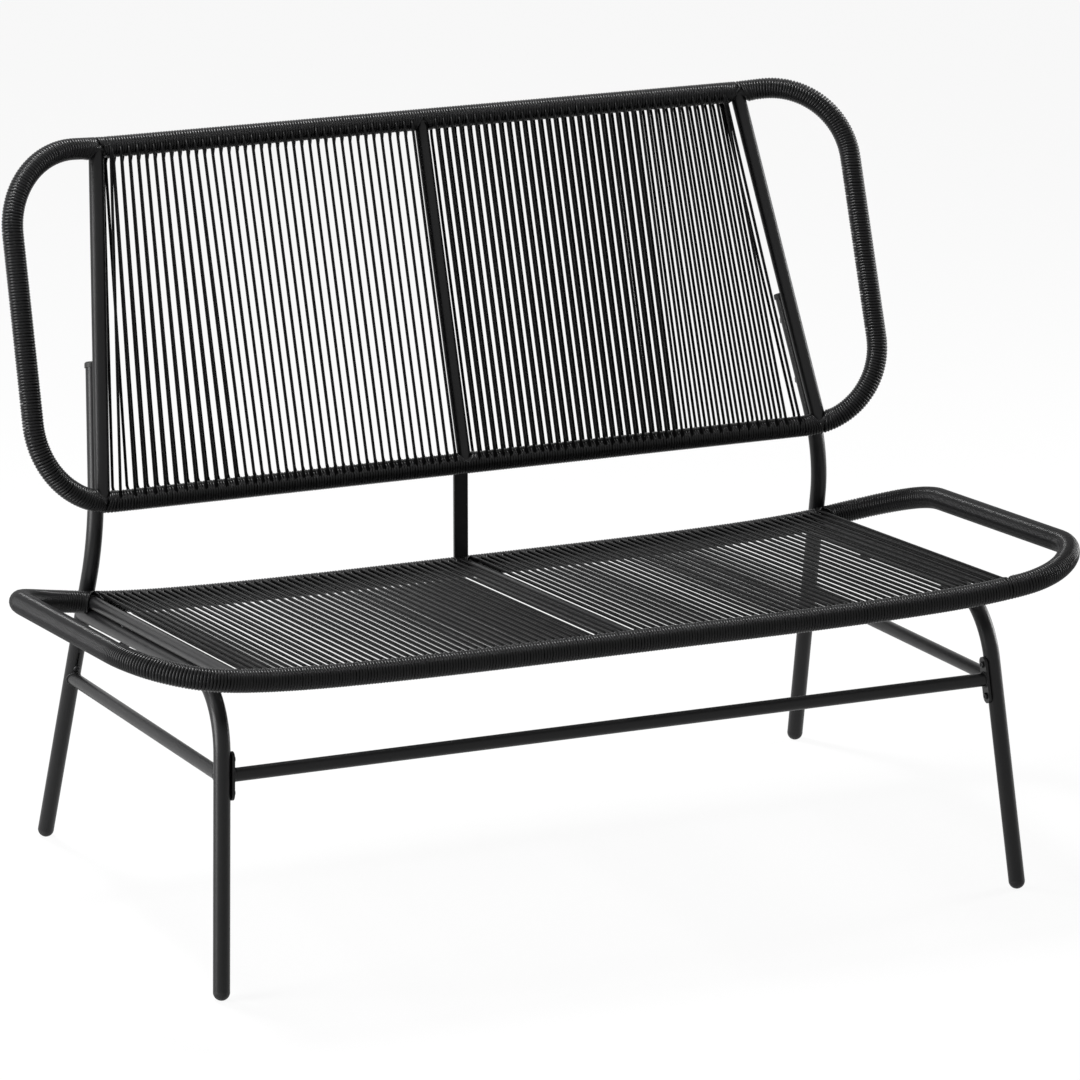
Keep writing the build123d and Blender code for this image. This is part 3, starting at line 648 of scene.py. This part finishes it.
def weld_on_post(spot, way, post):
    # The skin of the tube is followed out to the skin of the round post
    offsets = round_tube(way, BRACE_R + WELD_OUT)
    flat_way = way - (way @ post) * post
    flat = offsets - (offsets @ post)[:, None] * post
    a = flat_way @ flat_way
    b = 2 * flat @ flat_way
    c = (flat * flat).sum(1) - LEG_R * LEG_R
    reach = (-b + np.sqrt(b * b - 4 * a * c)) / (2 * a)
    return weld_bead(offsets, spot + offsets + reach[:, None] * way)


def weld_on_plate(spot, way, facing):
    offsets = round_tube(way, BRACE_R + WELD_OUT)
    reach = (LEG_R + PLATE_THICK - offsets @ facing) / (way @ facing)
    return weld_bead(offsets, spot + offsets + reach[:, None] * way)


# Screws: domed head with a six-sided socket
SCREW_STEPS = 24
SHANK_R = 0.0021
SHANK_REACH = 0.007
SOCKET_R = 0.0019
SOCKET_FLOOR = 0.0009
# Radius and height of the head, from its underside to its top
HEAD_PROFILE = ((0.004, 0.0), (0.004, 0.0014), (0.0037, 0.002), (0.0031, 0.0023), (0.0025, 0.0024))
HEAD_TOP = HEAD_PROFILE[-1][1]
ASLANT = [0.0, 0.6, 0.8]


def screw(seat, outward):
    # seat is where the underside of the head lies
    side = unit_rows(np.cross(outward, ASLANT))
    over = np.cross(outward, side)
    angles = 2 * pi * np.arange(SCREW_STEPS) / SCREW_STEPS
    ways = np.cos(angles)[:, None] * side + np.sin(angles)[:, None] * over
    sixth = np.cos((angles + pi / 6) % (pi / 3) - pi / 6)
    rows = [(SHANK_R, -SHANK_REACH), (SHANK_R, 0.0)] + list(HEAD_PROFILE)
    rings = [seat + radius * ways + height * outward for radius, height in rows]
    for height in (HEAD_TOP, SOCKET_FLOOR):
        rings.append(seat + (SOCKET_R / sixth)[:, None] * ways + height * outward)
    return np.concatenate(rings), *ring_faces(len(rings), SCREW_STEPS)


plate_screws = []
leg_screws = []
for name, side in SIDES:
    front_spot = front_leg_point(side, BRACE_FRONT_Z)
    rear_spot = rear_leg_point(side, BRACE_REAR_Z)
    front_post = leg_way(front_leg_point, side)
    rear_post = leg_way(rear_leg_point, side)
    inward = -side * ACROSS
    facing = square_to(inward, front_post)
    way = unit_rows(rear_spot - front_spot)
    beads = [weld_on_post(front_spot, way, front_post), weld_on_post(rear_spot, -way, rear_post),
             weld_on_plate(front_spot, inward, facing)]
    mesh_piece("weld_beads_" + name, beads, "powder_coat")
    for step in (-1, 1):
        seat = front_spot + step * SCREW_PITCH / 2 * front_post + (LEG_R + PLATE_THICK) * facing
        plate_screws.append(screw(seat, facing))
    forward = square_to(np.array([0.0, -1.0, 0.0]), rear_post)
    leg_screws.append(screw(rear_leg_point(side, LEG_SCREW_Z) + LEG_R * forward, forward))
strap_seat = np.array([CENTRE_X, BACK_FOOT_Y - MIDDLE_Y + STRAP_FACE, BACK_FOOT_Z - STRAP_SCREW_DROP])
strap_screws = [screw(strap_seat, np.array([0.0, 1.0, 0.0]))]
for name, screws in (("stretcher_screws", plate_screws), ("rear_leg_screws", leg_screws),
                     ("strap_screw", strap_screws)):
    mesh_piece("socket_" + name, screws, "fastener", [name])


# Metal frame, caps and bolts keep the shape of the solids
def kept_slot(name):
    if name.startswith(("foot_cap", "upright_cap")):
        return "cap_plastic"
    if name.endswith(("screws", "screw", "bolts")):
        return "fastener"
    return "powder_coat"


for name, node in nodes.items():
    for material_slot in node.material_slots:
        material_slot.material = finishes[kept_slot(name)]

# Floor and world: white to every ray that shows the background, dim as a light
FLOOR_SIZE = 40.0
FLOOR_WHITE = 0.7
FLOOR_ROUGH = 0.9
SHADOW_SHARE = 0.08
WORLD_GREY = 0.12


def sees_background(tree):
    # Rays that show the white background: straight to the camera, off gloss or through glass
    path = tree.nodes.new("ShaderNodeLightPath")
    total = path.outputs["Is Camera Ray"]
    for name in ("Is Glossy Ray", "Is Transmission Ray"):
        node = tree.nodes.new("ShaderNodeMath")
        node.operation = "MAXIMUM"
        tree.links.new(total, node.inputs[0])
        tree.links.new(path.outputs[name], node.inputs[1])
        total = node.outputs["Value"]
    return total


def floor_material():
    material, tree, shader = new_material("studio_floor")
    shader.inputs["Base Color"].default_value = (FLOOR_WHITE, FLOOR_WHITE, FLOOR_WHITE, 1)
    shader.inputs["Roughness"].default_value = FLOOR_ROUGH
    glow = tree.nodes.new("ShaderNodeEmission")
    share = remap(tree, sees_background(tree), 0.0, 1 - SHADOW_SHARE)
    mix = tree.nodes.new("ShaderNodeMixShader")
    tree.links.new(share, mix.inputs["Fac"])
    tree.links.new(shader.outputs["BSDF"], mix.inputs[1])
    tree.links.new(glow.outputs["Emission"], mix.inputs[2])
    tree.links.new(mix.outputs["Shader"], tree.nodes["Material Output"].inputs["Surface"])
    return material


floor_mesh = bpy.data.meshes.new("studio_floor")
half = FLOOR_SIZE / 2
floor_mesh.from_pydata([(-half, -half, 0), (half, -half, 0), (half, half, 0), (-half, half, 0)],
                       [], [(0, 1, 2, 3)])
floor_mesh.materials.append(floor_material())
floor = bpy.data.objects.new("studio_floor", floor_mesh)
bpy.context.scene.collection.objects.link(floor)

world = bpy.data.worlds.new("studio")
bpy.context.scene.world = world
world.use_nodes = True
world_tree = world.node_tree
background = world_tree.nodes["Background"]
world_level = remap(world_tree, sees_background(world_tree), WORLD_GREY, 1.0)
background.inputs["Color"].default_value = (1, 1, 1, 1)
world_tree.links.new(world_level, background.inputs["Strength"])

# Soft boxes, all turned to the middle of the loveseat
MIDDLE = (0, 0, 0.45)


def soft_box(name, place, width, height, power):
    lamp = bpy.data.lights.new(name, "AREA")
    lamp.shape = "RECTANGLE"
    lamp.size = width
    lamp.size_y = height
    lamp.energy = power
    holder = bpy.data.objects.new(name, lamp)
    bpy.context.scene.collection.objects.link(holder)
    holder.location = place
    holder.rotation_euler = (Vector(MIDDLE) - Vector(place)).to_track_quat("-Z", "Y").to_euler()


soft_box("left_box", place=(-3.0, 0.1, 1.2), width=1.3, height=2.4, power=160)
soft_box("right_box", place=(3.0, 0.3, 1.2), width=0.8, height=2.4, power=90)
soft_box("top_box", place=(-0.5, 0.8, 2.7), width=0.4, height=0.8, power=100)

# Camera: place in metres, angles in degrees, lens and sensor in millimetres
CAMERA_PLACE = (-2.7810, -6.7148, 2.4879)
CAMERA_AZIMUTH = -22.6255
CAMERA_ELEVATION = 16.0147
LENS = 213.3
SENSOR = 36.0
camera_data = bpy.data.cameras.new("photo_view")
camera_data.lens = LENS
camera_data.sensor_width = SENSOR
camera_data.sensor_fit = "HORIZONTAL"
camera = bpy.data.objects.new("photo_view", camera_data)
camera.location = CAMERA_PLACE
camera.rotation_euler = (radians(90 - CAMERA_ELEVATION), 0, radians(CAMERA_AZIMUTH))
bpy.context.scene.collection.objects.link(camera)
bpy.context.scene.camera = camera
bpy.context.scene.view_settings.view_transform = "Standard"
